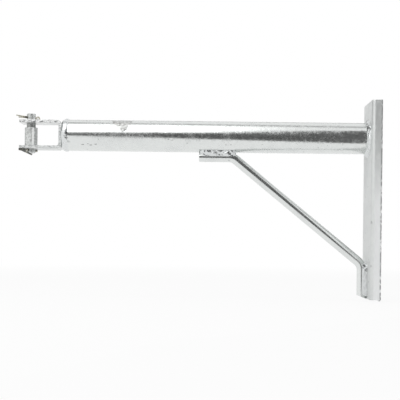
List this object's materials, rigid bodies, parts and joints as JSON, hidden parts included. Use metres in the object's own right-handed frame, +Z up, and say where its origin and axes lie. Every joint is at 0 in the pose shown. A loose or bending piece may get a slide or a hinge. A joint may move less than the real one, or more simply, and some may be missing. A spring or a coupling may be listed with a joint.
{
  "type": "pole-mounted extension arm for aerial fibre optic cable",
  "caption": "Galvanised steel arm: a round tube with a back channel for the pole, a bent bar brace below, and a clevis with pin, split pins and roller sleeve at its tip.",
  "frame": {"origin": "point where the tube's axis meets the plane of the back channel's flange toes, which bear on the pole", "axes": "+X points into the pole, against the arm's reach; +Z points up the pole; Y is across the arm"},
  "size_m": [0.4932, 0.07, 0.2692],
  "materials": {
    "galvanised_steel": "hot-dip galvanised, light grey with fine spangle",
    "galvanised_weld": "weld bead under the same zinc, rippled",
    "passivated_steel": "zinc plated, pale yellow passivated"
  },
  "bodies": {
    "arm": {"arm_tube": "galvanised_steel", "back_channel": "galvanised_steel", "clevis_strap": "galvanised_steel", "brace_bar": "galvanised_steel", "tube_channel_weld": "galvanised_weld", "clevis_weld": "galvanised_weld", "brace_tube_weld_near": "galvanised_weld", "brace_tube_weld_far": "galvanised_weld", "brace_channel_weld_near": "galvanised_weld", "brace_channel_weld_far": "galvanised_weld"},
    "clevis_pin": {"clevis_pin": "galvanised_steel", "upper_split_pin": "passivated_steel", "lower_split_pin": "passivated_steel"},
    "roller": {"roller_sleeve": "galvanised_steel"}
  },
  "joints": [
    {"name": "clevis_pin_turn", "type": "hinge", "parent": "arm", "child": "clevis_pin", "pos_m": [-0.4746, 0, 0], "axis": [0, 0, 1], "continuous": true},
    {"name": "roller_turn", "type": "hinge", "parent": "arm", "child": "roller", "pos_m": [-0.4746, 0, 0], "axis": [0, 0, 1], "continuous": true}
  ]
}
